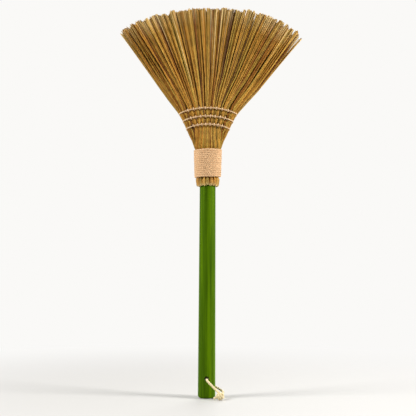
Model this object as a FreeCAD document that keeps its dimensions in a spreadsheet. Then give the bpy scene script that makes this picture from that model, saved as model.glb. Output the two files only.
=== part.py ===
import FreeCAD, Part
import math
import os
import Sketcher
from FreeCAD import Placement, Rotation, Vector

# A hand broom: a turned wooden handle, straw bound on its shaved end and sewn flat into a fan, and a cord
# to hang it by. The origin is the middle of the handle's end face, +Z runs up the handle to the straw, +X is
# to the right of the flat head and +Y is its back. Lengths are in millimetres, angles in degrees.

SIZES = {
    # Handle
    "grip_diameter": 22.9,
    "neck_diameter": 20.9,
    "exposed_length": 277,  # from the end face to the lowest straw
    "butt_rounding": 4,
    "spigot_diameter": 13.5,
    "spigot_length": 24,  # above the collar
    "spigot_chamfer": 1.5,
    "hang_hole_diameter": 5.7,
    "hang_hole_height": 26,
    "hang_hole_chamfer": 0.7,
    # Straw at the neck
    "collar_length": 11,
    "collar_diameter": 32,  # at its widest, just under the twine
    "collar_end_diameter": 29.6,  # round the cut butts
    "collar_lip": 2,  # from its widest place up to the twine
    "waist_diameter": 27.4,  # under the lowest turn of twine
    "throat_diameter": 29.8,  # under the highest turn of twine
    "swell_diameter": 36.4,  # where the straw swells out above the binding
    "neck_slit": 0.3,  # between tufts that are pressed together
    # Straw in the fan, as radii about the point that the straws spread from
    "fan_half_angle": 33.9,
    "lower_row_radius": 51,
    "row_spacing": 10.8,
    "row_lift": 2.5,  # further out at the head's edges than in its middle
    "flare_radius": 118,  # where the straw has spread again above the rows
    "tip_radius": 209,
    "sewn_depth": 28,
    "tip_depth": 36,
    "sewn_core_depth": 10,
    "tip_core_depth": 13,
    "edge_rounding": 6.5,
    "tip_slit": 2.4,
    "tip_groove": 3.8,  # between the bundles on the outside of a tuft
    # Twine, wire and nails
    "binding_twine": 2,
    "binding_gap": 0.5,
    "binding_turns": 14,
    "band_twine": 1.6,
    "tie_twine": 1.1,
    "wire_diameter": 1,
    "wire_pitch": 5,
    "wire_turns": 6,
    "nail_diameter": 1.6,
    "nail_length": 11.5,
    "nail_point_length": 2.5,
    "nail_head_diameter": 3.2,
    "nail_head_thickness": 0.7,
    "clearance": 0.25,
    "pilot_clearance": 0.05,
    # Hanging cord
    "cord_diameter": 3.2,
    "knot_width": 11.4,
    "knot_depth": 10.4,
    "knot_height": 10,
    "knot_tail_length": 9,
}

# The head is sewn into this many columns of straw, with a tie between each pair.
COLUMNS = 9
ROWS = ("lower", "middle", "upper")
# Half-angle of the sewn part, as a share of the free fan's: half a row spacing below the lower row, at each
# row of stitches, and half a row spacing above the upper row.
SEWN_ANGLE_SHARES = (0.941, 0.886, 0.873, 0.876, 0.893)
# The same at the flare above the rows.
FLARE_ANGLE_SHARE = 0.988
# Angle of the outermost slits as a share of the fan's half-angle: where the head is sewn, at the flare and
# at the tips.
SEWN_SLIT_SHARE = 0.615
FLARE_SLIT_SHARE = 0.72
TIP_SLIT_SHARE = 0.8
# Reach of each column's tips as a share of the tip radius, from +X to -X.
TIP_FRONT_SHARES = (1.004, 1.010, 1.001, 0.984, 0.976, 0.979, 0.985, 0.992, 0.998)
TIP_BACK_SHARES = (0.998, 1.002, 0.994, 0.989, 0.982, 0.985, 0.979, 0.996, 1.003)
TIP_CORE_SHARES = (1.000, 1.005, 0.990, 0.978, 0.985, 0.974, 0.988, 0.995, 1.000)
# Bundles across the outside of each tuft.
BUNDLES = 4
# Where round the neck the twine and the wire begin, in turns from +X, and the nails' height in wire turns.
TWINE_START_SHARE = 0.25
WIRE_START_SHARE = 0.75
FRONT_NAIL_TURN_SHARE = 1.5
BACK_NAIL_TURN_SHARE = 2.0

# The hanging cord's route: from the knot up the front to the hole, through it, and round the right side back
# to the knot. The two points at the hole's mouths bend as tightly as the cord can.
FRONT_MOUTH = Vector(0.6, -13.9, 25.3)
BACK_MOUTH = Vector(0.6, 13.9, 25.3)
CORD_ROUTE = (
    Vector(16.4, -20.2, 8.8),
    Vector(10.0, -16.8, 14.8),
    FRONT_MOUTH,
    BACK_MOUTH,
    Vector(9.4, 14.4, 13.6),
    Vector(19.0, 7.6, 9.6),
    Vector(22.6, -6.0, 7.6),
    Vector(19.9, -17.4, 6.6),
)
KNOT_CENTRE = Vector(17.6, -21.4, 5.3)
# Directions in which the cord's two cut ends leave the knot.
KNOT_TAILS = (Vector(-0.93, -0.24, -0.27), Vector(0.30, 0.93, -0.20))

# Share of the shorter run that a bend of the cord takes up.
RUN_SHARE = 0.45

# Points along a path that the printed gaps are measured on, for each edge.
GAP_SAMPLES = 24

doc = FreeCAD.newDocument("hand_broom")
sheet = doc.addObject("Spreadsheet::Sheet", "Sizes")
for row, (alias, value) in enumerate(SIZES.items(), start=1):
    sheet.set(f"A{row}", alias)
    sheet.set(f"B{row}", str(value))
    sheet.setAlias(f"B{row}", alias)
doc.recompute()

pieces = []


def size(alias):
    return float(sheet.get(alias))


def keep(obj, label):
    """List obj as a sub-part of the broom under its own name."""
    obj.Label = label
    pieces.append(obj)
    return obj


def shaped(label, shape):
    """A sub-part whose shape is worked out here from the sheet."""
    obj = doc.addObject("Part::Feature", label)
    obj.Shape = shape
    obj.Placement = Placement()
    return keep(obj, label)


# Levels up the handle and the point that the straws spread from.
CLEAR = size("clearance")
COLLAR_BOTTOM = size("exposed_length")
BINDING_BOTTOM = COLLAR_BOTTOM + size("collar_length")
BINDING_PITCH = size("binding_twine") + size("binding_gap")
BINDING_LENGTH = size("binding_turns") * BINDING_PITCH + size("binding_twine")
BINDING_TOP = BINDING_BOTTOM + BINDING_LENGTH
SWELL = BINDING_TOP + size("binding_twine")
HANDLE_TOP = BINDING_BOTTOM + size("spigot_length")
APEX = BINDING_BOTTOM + BINDING_LENGTH / 2


def bound_straw_radius(level):
    """Outside of the straw under the binding, which widens evenly upwards."""
    share = (level - BINDING_BOTTOM) / BINDING_LENGTH
    return (size("waist_diameter") * (1 - share) + size("throat_diameter") * share) / 2


# Handle


def plane_of(body, role):
    return next(f for f in body.Origin.OriginFeatures if f.Role == role)


def new_sketch(body, name, role):
    sketch = body.newObject("Sketcher::SketchObject", name)
    sketch.AttachmentSupport = [(plane_of(body, role), "")]
    sketch.MapMode = "FlatFace"
    return sketch


def bind_point(sketch, geometry, end, across, up):
    """Tie one end of a sketch line to expressions for its place across and up."""
    for kind, text in (("DistanceX", across), ("DistanceY", up)):
        value = float(sketch.evalExpression(text))
        index = sketch.addConstraint(Sketcher.Constraint(kind, -1, 1, geometry, end, value))
        sketch.setExpression(f"Constraints[{index}]", text)


def outline_sketch(body, name, role, corners):
    """A closed outline of straight lines through corners, each a pair of expressions."""
    sketch = new_sketch(body, name, role)
    points = [Vector(float(sketch.evalExpression(x)), float(sketch.evalExpression(y)), 0) for x, y in corners]
    for start, end in zip(points, points[1:] + points[:1]):
        sketch.addGeometry(Part.LineSegment(start, end), False)
    count = len(corners)
    for line in range(count):
        sketch.addConstraint(Sketcher.Constraint("Coincident", line, 2, (line + 1) % count, 1))
    for line, (across, up) in enumerate(corners):
        bind_point(sketch, line, 1, across, up)
    return sketch


def hole_sketch(body, name, role, diameter, height):
    """One circle on the middle line of the handle, at a height."""
    sketch = new_sketch(body, name, role)
    radius, level = (float(sketch.evalExpression(text)) for text in (f"{diameter} / 2", height))
    sketch.addGeometry(Part.Circle(Vector(0, level, 0), Vector(0, 0, 1), radius), False)
    sketch.addConstraint(Sketcher.Constraint("PointOnObject", 0, 3, -2))
    index = sketch.addConstraint(Sketcher.Constraint("DistanceY", -1, 1, 0, 3, level))
    sketch.setExpression(f"Constraints[{index}]", height)
    index = sketch.addConstraint(Sketcher.Constraint("Radius", 0, radius))
    sketch.setExpression(f"Constraints[{index}]", f"{diameter} / 2")
    return sketch


def nail_height(turn_share):
    """Height of a nail, as an expression: midway between two turns of the wire."""
    bottom = "Sizes.exposed_length + Sizes.collar_length + Sizes.binding_twine"
    return f"{bottom} + Sizes.wire_pitch * {turn_share}"


def make_handle():
    """Turned handle: rounded end, tapered grip, shaved spigot, a hole for the cord and two for the nails."""
    body = doc.addObject("PartDesign::Body", "handle")
    top = "Sizes.exposed_length + Sizes.collar_length + Sizes.spigot_length"
    profile = outline_sketch(
        body,
        "HandleProfile",
        "XZ_Plane",
        (
            ("0", "0"),
            ("Sizes.grip_diameter / 2", "0"),
            ("Sizes.neck_diameter / 2", "Sizes.exposed_length"),
            ("Sizes.spigot_diameter / 2", "Sizes.exposed_length + Sizes.collar_length"),
            ("Sizes.spigot_diameter / 2", f"{top} - Sizes.spigot_chamfer"),
            ("Sizes.spigot_diameter / 2 - Sizes.spigot_chamfer", top),
            ("0", top),
        ),
    )
    turned = body.newObject("PartDesign::Revolution", "TurnedHandle")
    turned.Profile = profile
    turned.ReferenceAxis = (profile, ["V_Axis"])
    turned.Angle = 360
    doc.recompute()

    def flat_end(edge):
        return edge.BoundBox.ZMax < size("butt_rounding") / 2

    rounding = body.newObject("PartDesign::Fillet", "RoundedEnd")
    ends = [f"Edge{i}" for i, e in enumerate(turned.Shape.Edges, start=1) if flat_end(e)]
    rounding.Base = (turned, ends)
    rounding.setExpression("Radius", "Sizes.butt_rounding")
    doc.recompute()

    before = rounding.Shape.Volume
    hole = body.newObject("PartDesign::Pocket", "HangHole")
    hole.Profile = hole_sketch(
        body, "HangHoleCircle", "XZ_Plane", "Sizes.hang_hole_diameter", "Sizes.hang_hole_height"
    )
    hole.Type = "ThroughAll"
    hole.SideType = "Symmetric"
    doc.recompute()
    print("hang hole removes", round(before - hole.Shape.Volume, 1), "mm3")

    def mouth(edge):
        low = size("hang_hole_height") - size("hang_hole_diameter")
        high = size("hang_hole_height") + size("hang_hole_diameter")
        curved = edge.Curve.TypeId != "Part::GeomLine"
        return curved and low < edge.BoundBox.ZMin and edge.BoundBox.ZMax < high

    eased = body.newObject("PartDesign::Chamfer", "HangHoleMouths")
    mouths = [f"Edge{i}" for i, e in enumerate(hole.Shape.Edges, start=1) if mouth(e)]
    eased.Base = (hole, mouths)
    eased.setExpression("Size", "Sizes.hang_hole_chamfer")
    doc.recompute()

    pilot = "(Sizes.nail_diameter + 2 * Sizes.pilot_clearance)"
    last = eased
    for name, turn_share, toward_back in (
        ("FrontNailHole", FRONT_NAIL_TURN_SHARE, False),
        ("BackNailHole", BACK_NAIL_TURN_SHARE, True),
    ):
        before = last.Shape.Volume
        drilled = body.newObject("PartDesign::Pocket", name)
        drilled.Profile = hole_sketch(body, name + "Circle", "XZ_Plane", pilot, nail_height(turn_share))
        drilled.Type = "ThroughAll"
        drilled.SideType = "One side"
        drilled.Reversed = not toward_back
        doc.recompute()
        print(name, "removes", round(before - drilled.Shape.Volume, 2), "mm3")
        last = drilled
    return keep(body, "handle")


# Nails


def make_nail(name, turn_share, toward_back):
    """One nail, made point up and then laid along Y with its head on the straw."""
    shank = doc.addObject("Part::Cylinder", name + "Shank")
    shank.setExpression("Radius", "Sizes.nail_diameter / 2")
    shank.setExpression("Height", "Sizes.nail_length - Sizes.nail_point_length")
    point = doc.addObject("Part::Cone", name + "Point")
    point.setExpression("Radius1", "Sizes.nail_diameter / 2")
    point.setExpression("Radius2", "0")
    point.setExpression("Height", "Sizes.nail_point_length")
    point.setExpression("Placement.Base.z", "Sizes.nail_length - Sizes.nail_point_length")
    head = doc.addObject("Part::Cylinder", name + "Head")
    head.setExpression("Radius", "Sizes.nail_head_diameter / 2")
    head.setExpression("Height", "Sizes.nail_head_thickness")
    head.setExpression("Placement.Base.z", "-Sizes.nail_head_thickness")
    nail = doc.addObject("Part::MultiFuse", name)
    nail.Shapes = [shank, point, head]
    side = 1 if toward_back else -1
    level = float(sheet.evalExpression(nail_height(turn_share)))
    seat = bound_straw_radius(level) + CLEAR
    nail.Placement = Placement(Vector(0, side * seat, level), Rotation(Vector(1, 0, 0), side * 90))
    return nail


def make_nails():
    """Two nails that hold the straw on the spigot, front and back."""
    group = doc.addObject("Part::Compound", "fixing_nails")
    group.Links = [
        make_nail("FrontNail", FRONT_NAIL_TURN_SHARE, False),
        make_nail("BackNail", BACK_NAIL_TURN_SHARE, True),
    ]
    doc.recompute()
    return keep(group, "fixing_nails")


# Tubes of twine, wire and cord


def arc_between(start, corner, end):
    """Arc from start to end, tangent there to the lines from corner, which is as far from both."""
    middle = (start + end) / 2
    cosine = (end - start).Length / 2 / (corner - start).Length
    return Part.Arc(start, middle + (corner - middle) * (cosine / (1 + cosine)), end).toShape()


def biarc(start, leaving, end, arriving):
    """Two arcs from start to end with the given tangents."""
    span = end - start
    square = 2 * (1 - leaving.dot(arriving))
    linear = 2 * span.dot(leaving + arriving)
    reach = (math.sqrt(linear**2 + 4 * square * span.dot(span)) - linear) / (2 * square)
    first = start + leaving * reach
    second = end - arriving * reach
    joint = (first + second) / 2
    return [arc_between(start, first, joint), arc_between(joint, second, end)]


def swept(label, edges, diameter, heading):
    """Round tube along edges, which run on from each other, with its volume compared with its length's."""
    path = Part.Wire(edges)
    start = edges[0].valueAt(edges[0].FirstParameter)
    ring = Part.Wire([Part.Circle(start, heading, diameter / 2).toShape()])
    shell = Part.BRepOffsetAPI.MakePipeShell(path)
    shell.add(ring)
    shell.build()
    shell.makeSolid()
    solid = shell.shape()
    expected = math.pi * diameter**2 / 4 * path.Length
    print(f"{label}: length {path.Length:.1f}, volume {solid.Volume:.2f} of {expected:.2f}")
    return solid


def print_least_gap(label, edges, diameter, apart):
    """Print the least gap between stretches of a tube that lie further apart than a length along it."""
    points, along, run = [], [], 0
    for edge in edges:
        for i in range(GAP_SAMPLES):
            step = edge.Length * i / GAP_SAMPLES
            points.append(edge.valueAt(edge.getParameterByLength(step)))
            along.append(run + step)
        run += edge.Length
    gap = min(
        (points[i] - points[j]).Length
        for i in range(len(points))
        for j in range(i)
        if along[i] - along[j] > apart
    )
    print(f"{label}: least gap to itself {gap - diameter:.3f}")


def coil_edges(start_share, turns, bottom, top, radius_at, lead):
    """A winding up the neck in biarcs of half a turn, with straight ends of length lead."""
    halves = int(round(2 * turns))
    rise = (top - bottom) / halves

    def at(i):
        level = bottom + rise * i
        angle = 2 * math.pi * start_share + math.pi * i
        radius = radius_at(level)
        widening = (radius_at(top) - radius_at(bottom)) / (math.pi * halves)
        out = Vector(math.cos(angle), math.sin(angle), 0)
        round_it = Vector(-math.sin(angle), math.cos(angle), 0)
        tangent = out * widening + round_it * radius + Vector(0, 0, rise / math.pi)
        return out * radius + Vector(0, 0, level), tangent.normalize()

    stations = [at(i) for i in range(halves + 1)]
    edges = []
    for (start, leaving), (end, arriving) in zip(stations, stations[1:]):
        edges += biarc(start, leaving, end, arriving)
    first, first_heading = stations[0]
    last, last_heading = stations[-1]
    edges.insert(0, Part.LineSegment(first - first_heading * lead, first).toShape())
    edges.append(Part.LineSegment(last, last + last_heading * lead).toShape())
    return edges, first_heading


def make_binding_wire():
    """Wire that draws the straw tight on the spigot, under the twine."""
    wire = size("wire_diameter")
    bottom = BINDING_BOTTOM + size("binding_twine")
    top = bottom + size("wire_pitch") * size("wire_turns")
    edges, heading = coil_edges(
        WIRE_START_SHARE,
        size("wire_turns"),
        bottom,
        top,
        lambda level: bound_straw_radius(level) + CLEAR + wire / 2,
        wire,
    )
    print_least_gap("binding_wire", edges, wire, bound_straw_radius(bottom))
    return shaped("binding_wire", swept("binding_wire", edges, wire, heading))


def make_neck_binding():
    """Twine wound side by side round the neck."""
    twine = size("binding_twine")
    bottom = BINDING_BOTTOM + twine / 2
    top = BINDING_TOP - twine / 2
    edges, heading = coil_edges(
        TWINE_START_SHARE,
        size("binding_turns"),
        bottom,
        top,
        lambda level: bound_straw_radius(level) + 2 * CLEAR + size("wire_diameter") + twine / 2,
        twine,
    )
    print_least_gap("neck_binding", edges, twine, bound_straw_radius(bottom))
    return shaped("neck_binding", swept("neck_binding", edges, twine, heading))


# Straw


def fan_point(reach, angle, depth):
    return Vector(reach * math.sin(angle), depth, APEX + reach * math.cos(angle))


class FanStation:
    """Section of the head at one radius from the apex: a rounded rectangle laid along the arc."""

    def __init__(self, reach, half_angle, slit_angle, depth, core_depth, slit, groove):
        self.reach = reach
        self.half_width = reach * half_angle
        self.half_depth = depth / 2
        self.core_half_depth = core_depth / 2
        self.slit = slit
        self.groove = groove
        self.end_width = reach * (half_angle - slit_angle)
        self.corner = size("edge_rounding")
        self.column_width = 2 * reach * slit_angle / (COLUMNS - 2)
        quarter = self.corner * math.pi / 2
        self.end_length = self.half_depth - self.corner + quarter + self.end_width - self.corner

    def across(self, turn):
        """Place across the head of the boundary at a turn from 1 to one less than the columns."""
        return self.half_width - self.end_width - self.column_width * (turn - 1)

    def outer(self, turn, inset):
        """Place across and depth, some way inside the front outline, from turn 0 at +X to the last at -X."""
        if turn > COLUMNS / 2:
            across, depth = self.outer(COLUMNS - turn, inset)
            return -across, depth
        if turn >= 1:
            return self.across(turn), self.half_depth - inset
        along = turn * self.end_length
        straight = self.half_depth - self.corner
        if along <= straight:
            return self.half_width - inset, along
        angle = (along - straight) / self.corner
        if angle <= math.pi / 2:
            return (
                self.half_width - self.corner + (self.corner - inset) * math.cos(angle),
                straight + (self.corner - inset) * math.sin(angle),
            )
        across = self.half_width - self.corner - self.corner * (angle - math.pi / 2)
        return across, self.half_depth - inset

    def inner(self, turn):
        """Place across and depth of the face that the outer tufts turn to the core."""
        if turn > COLUMNS / 2:
            across, depth = self.inner(COLUMNS - turn)
            return -across, depth
        depth = self.core_half_depth + size("neck_slit") / 2
        if turn >= 1:
            return self.across(turn), depth
        return self.across(1) + self.slit / 2, depth * turn

    def edges(self, column):
        """Turns at which a column's tuft begins and ends, half a slit inside its boundaries."""
        end_gap = self.slit / 2 / self.end_length
        gap = self.slit / 2 / self.column_width
        rim_gap = size("neck_slit") / 2 / self.end_length
        if column == 0:
            return rim_gap, 1 - end_gap
        if column == COLUMNS - 1:
            return column + end_gap, COLUMNS - rim_gap
        return column + gap, column + 1 - gap


def ring_point(radius, turn, level):
    angle = math.pi * turn / COLUMNS
    return Vector(radius * math.cos(angle), radius * math.sin(angle), level)


def ring_edges(column, radius):
    gap = size("neck_slit") / 2 * COLUMNS / (math.pi * radius)
    return column + gap, column + 1 - gap


def inner_ring_radius(handle_radius):
    """Corner radius of the tufts' flat inner faces round a handle of this radius."""
    return (handle_radius + CLEAR) / math.cos(math.pi / COLUMNS / 2)


def rim_turns(begin, end):
    """Turns of the grooves and crests across a tuft, from one edge to the other."""
    steps = 2 * BUNDLES
    return [begin + (end - begin) * i / steps for i in range(steps + 1)]


def rim_insets(groove):
    """How far each of those turns lies inside the outline: crests on it, the edges half a groove inside."""
    insets = [groove if i % 2 == 0 else 0 for i in range(2 * BUNDLES + 1)]
    insets[0] = insets[-1] = groove / 2
    return insets


def sewn_station(steps, share):
    """Section of the sewn part, some row spacings out from the lower row."""
    half_angle = math.radians(size("fan_half_angle"))
    return FanStation(
        size("lower_row_radius") + size("row_spacing") * steps,
        half_angle * share,
        half_angle * SEWN_SLIT_SHARE,
        size("sewn_depth"),
        size("sewn_core_depth"),
        size("tie_twine") + 2 * CLEAR,
        0,
    )


def row_station(row):
    return sewn_station(row, SEWN_ANGLE_SHARES[row + 1])


def flare_station(above):
    """Section at the flare, as deep and as open as it lies between the rows and the tips."""
    reach = size("flare_radius")
    half_angle = math.radians(size("fan_half_angle"))
    share = (reach - above.reach) / (size("tip_radius") - above.reach)
    return FanStation(
        reach,
        half_angle * FLARE_ANGLE_SHARE,
        half_angle * FLARE_SLIT_SHARE,
        size("sewn_depth") * (1 - share) + size("tip_depth") * share,
        size("sewn_core_depth") * (1 - share) + size("tip_core_depth") * share,
        above.slit * (1 - share) + size("tip_slit") * share,
        size("tip_groove") * share,
    )


def fan_stations(tip_share):
    """Sections of the head: below the rows, at each row, above the rows, at the flare and at the tips."""
    half_angle = math.radians(size("fan_half_angle"))
    rows = [row_station(row) for row in range(len(ROWS))]
    below = sewn_station(-1 / 2, SEWN_ANGLE_SHARES[0])
    above = sewn_station(len(ROWS) - 1 / 2, SEWN_ANGLE_SHARES[-1])
    tips = FanStation(
        size("tip_radius") * tip_share,
        half_angle,
        half_angle * TIP_SLIT_SHARE,
        size("tip_depth"),
        size("tip_core_depth"),
        size("tip_slit"),
        size("tip_groove"),
    )
    return [below, *rows, above, flare_station(above), tips]


def fan_section(station, places, flat):
    """Points of a tuft's section at a station; flat cuts it square to the tuft's middle line."""
    angles = [across / station.reach for across, depth in places]
    middle = (max(angles) + min(angles)) / 2
    points = []
    for angle, (across, depth) in zip(angles, places):
        reach = station.reach / math.cos(angle - middle) if flat else station.reach
        points.append(fan_point(reach, angle, depth))
    return points


def lofted(sections, side):
    """Ruled solid through sections, for the head's back (side 1) or mirrored to its front (side -1)."""
    rings = [[Vector(p.x, side * p.y, p.z) for p in points] for points in sections]
    faces = [Part.Face(Part.makePolygon(end + end[:1])) for end in (rings[0], rings[-1])]
    for low, high in zip(rings, rings[1:]):
        low_next, high_next = low[1:] + low[:1], high[1:] + high[:1]
        for a, b, c, d in zip(low, low_next, high, high_next):
            faces.append(Part.makeRuledSurface(Part.makeLine(a, b), Part.makeLine(c, d)))
    shell = Part.makeShell(faces)
    shell.sewShape()
    solid = Part.makeSolid(shell)
    if solid.Volume < 0:
        solid.reverse()
    return solid


def outer_sections(column, share):
    """Sections of an outer tuft from the collar to the tips."""
    neck = inner_ring_radius(size("neck_diameter") / 2)
    spigot = inner_ring_radius(size("spigot_diameter") / 2)
    lip_share = size("collar_lip") / size("collar_length")
    rings = (
        (COLLAR_BOTTOM, size("collar_end_diameter") / 2, neck),
        (
            BINDING_BOTTOM - size("collar_lip"),
            size("collar_diameter") / 2,
            neck * lip_share + spigot * (1 - lip_share),
        ),
        (BINDING_BOTTOM, bound_straw_radius(BINDING_BOTTOM), spigot),
        (HANDLE_TOP, bound_straw_radius(HANDLE_TOP), spigot),
        (BINDING_TOP, bound_straw_radius(BINDING_TOP), spigot),
        (SWELL, size("swell_diameter") / 2, spigot),
    )
    sections = []
    for level, outside, inside in rings:
        begin, end = ring_edges(column, outside)
        rim = [ring_point(outside, turn, level) for turn in rim_turns(begin, end)]
        sections.append(rim + [ring_point(inside, end, level), ring_point(inside, begin, level)])
    stations = fan_stations(share)
    for station in stations:
        begin, end = station.edges(column)
        rim = zip(rim_turns(begin, end), rim_insets(station.groove))
        places = [station.outer(turn, inset) for turn, inset in rim]
        places += [station.inner(end), station.inner(begin)]
        sections.append(fan_section(station, places, station is stations[-1]))
    return sections


def core_sections(column, share):
    """Sections of the filling of one column, from just above the handle to the tips."""
    radius = inner_ring_radius(size("spigot_diameter") / 2) - size("neck_slit")
    sections = []
    for level in (HANDLE_TOP + CLEAR, SWELL):
        begin, end = ring_edges(column, radius)
        back = [ring_point(radius, turn, level) for turn in (begin, end)]
        front = [Vector(p.x, -p.y, p.z) for p in reversed(back)]
        sections.append(back + front)
    stations = fan_stations(share)
    for station in stations:
        begin, end = station.edges(column)
        depth = station.core_half_depth - size("neck_slit") / 2
        places = [(station.across(turn), depth) for turn in (begin, end)]
        places += [(station.across(turn), -depth) for turn in (end, begin)]
        sections.append(fan_section(station, places, station is stations[-1]))
    return sections


def make_straw():
    """Front and back tufts of each column, with the filling between them."""
    middle = COLUMNS // 2
    nail_hole = size("nail_diameter") / 2 + CLEAR
    for name, side, shares, turn_share in (
        ("front", -1, TIP_FRONT_SHARES, FRONT_NAIL_TURN_SHARE),
        ("back", 1, TIP_BACK_SHARES, BACK_NAIL_TURN_SHARE),
    ):
        for column in range(COLUMNS):
            solid = lofted(outer_sections(column, shares[column]), side)
            if column == middle:
                level = float(sheet.evalExpression(nail_height(turn_share)))
                through = Vector(0, side * size("collar_diameter"), 0)
                solid = solid.cut(Part.makeCylinder(nail_hole, through.Length, Vector(0, 0, level), through))
            shaped(f"straw_{name}_{column + 1}", solid)
    for column in range(1, COLUMNS - 1):
        solid = lofted(core_sections(column, TIP_CORE_SHARES[column]), 1)
        shaped(f"straw_core_{column}", solid)


# Stitching


class RowArc:
    """Arc of a row across the head, flatter than the head's own, so that it ends further out at the edges."""

    def __init__(self, row):
        station = row_station(row)
        edge = fan_point(station.reach + size("row_lift"), self.edge_angle(row), 0)
        self.crown = APEX + station.reach
        fall = self.crown - edge.z
        # The arc's ends run straight on, for the length of the rounding, to the head's edges.
        self.radius = (edge.x**2 + fall**2 - station.corner**2) / (2 * fall)
        to_edge = math.atan2(edge.x, self.radius - fall)
        self.half_turn = to_edge - math.atan(station.corner / self.radius)

    def edge_angle(self, row):
        """Half-angle of the head where the row goes round its edge."""
        spacings = 1 if row < len(ROWS) - 1 else 1 / 2
        share = size("row_lift") / (size("row_spacing") * spacings)
        here, beyond = SEWN_ANGLE_SHARES[row + 1], SEWN_ANGLE_SHARES[row + 2]
        return math.radians(size("fan_half_angle")) * (here * (1 - share) + beyond * share)

    def point(self, turn, depth):
        """Place on the arc, some turn from its middle."""
        return Vector(self.radius * math.sin(turn), depth, self.crown - self.radius * (1 - math.cos(turn)))

    def crossing(self, angle, depth):
        """Place where the arc crosses a line from the apex at this angle."""
        below = self.radius - (self.crown - APEX)
        reach = math.sqrt(self.radius**2 - (below * math.sin(angle)) ** 2) - below * math.cos(angle)
        return fan_point(reach, angle, depth)


def make_stitch_row(row):
    """Band of twine round the head: an arc across the front and the back, joined round both edges."""
    station = row_station(row)
    arc = RowArc(row)
    twine = size("band_twine")
    stand = CLEAR + twine / 2
    depth = station.half_depth + stand
    bend = station.corner + stand
    edges = []
    for side in (-1, 1):
        # Across one face, from one edge of the head to the other, and then round that edge.
        start = arc.point(-side * arc.half_turn, side * depth)
        end = arc.point(side * arc.half_turn, side * depth)
        edges.append(Part.Arc(start, arc.point(0, side * depth), end).toShape())
        heading = Vector(side * math.cos(arc.half_turn), 0, -math.sin(arc.half_turn))
        inward = Vector(0, -side, 0)
        low = end + heading * bend + inward * bend
        edges.append(arc_between(end, end + heading * bend, low))
        high = low + inward * (2 * (station.half_depth - station.corner))
        edges.append(Part.LineSegment(low, high).toShape())
        corner = high + inward * bend
        edges.append(arc_between(high, corner, corner - heading * bend))
    heading = Vector(-math.cos(arc.half_turn), 0, math.sin(arc.half_turn))
    label = f"stitch_row_{ROWS[row]}"
    return shaped(label, swept(label, edges, twine, heading))


def make_stitch_ties(row):
    """Loops of twine through the slits of a row, each over the band at the front and the back."""
    station = row_station(row)
    arc = RowArc(row)
    tie = size("tie_twine")
    depth = station.half_depth + CLEAR + size("band_twine") / 2
    offset = size("band_twine") / 2 + CLEAR + tie / 2
    loops = []
    for turn in range(1, COLUMNS):
        angle = station.across(turn) / station.reach
        outward = Vector(math.sin(angle), 0, math.cos(angle))
        front = arc.crossing(angle, -depth)
        back = arc.crossing(angle, depth)
        over = Vector(0, offset, 0)
        above, below = outward * offset, outward * -offset
        edges = [
            Part.LineSegment(front + above, back + above).toShape(),
            Part.Arc(back + above, back + over, back + below).toShape(),
            Part.LineSegment(back + below, front + below).toShape(),
            Part.Arc(front + below, front - over, front + above).toShape(),
        ]
        loops.append(swept(f"stitch_ties_{ROWS[row]} {turn}", edges, tie, Vector(0, 1, 0)))
    return shaped(f"stitch_ties_{ROWS[row]}", Part.makeCompound(loops))


# Hanging cord


def route_edges(points, tight, tight_radius):
    """Straight runs joined by tangent arcs, as large as the runs allow except at the tight points."""
    edges = []
    radii = []
    last = points[0]
    for before, point, after in zip(points, points[1:], points[2:]):
        arriving = (point - before).normalize()
        leaving = (after - point).normalize()
        half_turn = arriving.getAngle(leaving) / 2
        shorter = min((point - before).Length, (after - point).Length)
        radius = tight_radius if point in tight else RUN_SHARE * shorter / math.tan(half_turn)
        reach = radius * math.tan(half_turn)
        radii.append(round(radius, 1))
        begin, end = point - arriving * reach, point + leaving * reach
        edges.append(Part.LineSegment(last, begin).toShape())
        edges.append(arc_between(begin, point, end))
        last = end
    edges.append(Part.LineSegment(last, points[-1]).toShape())
    print("hang_cord: radii", radii)
    return edges


def make_hang_loop():
    """Cord through the handle's hole, and the knot that its two ends are tied in."""
    cord = size("cord_diameter")
    bulk = doc.addObject("Part::Ellipsoid", "KnotBulk")
    bulk.setExpression("Radius1", "Sizes.knot_height / 2")
    bulk.setExpression("Radius2", "Sizes.knot_width / 2")
    bulk.setExpression("Radius3", "Sizes.knot_depth / 2")
    bulk.Placement = Placement(KNOT_CENTRE, Rotation())
    tails = []
    for number, direction in enumerate(KNOT_TAILS, start=1):
        tail = doc.addObject("Part::Cylinder", f"KnotTail{number}")
        tail.setExpression("Radius", "Sizes.cord_diameter / 2")
        tail.setExpression("Height", "Sizes.knot_tail_length")
        tail.Placement = Placement(KNOT_CENTRE, Rotation(Vector(0, 0, 1), direction))
        tails.append(tail)
    knot = doc.addObject("Part::MultiFuse", "hang_cord_knot")
    knot.Shapes = [bulk] + tails
    doc.recompute()

    edges = route_edges(CORD_ROUTE, (FRONT_MOUTH, BACK_MOUTH), cord)
    heading = CORD_ROUTE[1] - CORD_ROUTE[0]
    tube = doc.addObject("Part::Feature", "CordTube")
    tube.Shape = swept("hang_cord", edges, cord, heading)
    loop = doc.addObject("Part::Cut", "hang_cord")
    loop.Base = tube
    loop.Tool = knot
    doc.recompute()
    keep(loop, "hang_cord")
    keep(knot, "hang_cord_knot")


make_handle()
make_nails()
make_binding_wire()
make_neck_binding()
make_straw()
for row in range(len(ROWS)):
    make_stitch_row(row)
    make_stitch_ties(row)
make_hang_loop()
doc.recompute()

for obj in doc.Objects:
    if "Invalid" in obj.State or "Error" in obj.State:
        raise RuntimeError(f"{obj.Label} failed: {obj.State}")
for piece in pieces:
    if piece.Shape.isNull() or not piece.Shape.isValid() or not piece.Shape.Solids:
        raise RuntimeError(f"{piece.Label} has no valid solid")

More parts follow.
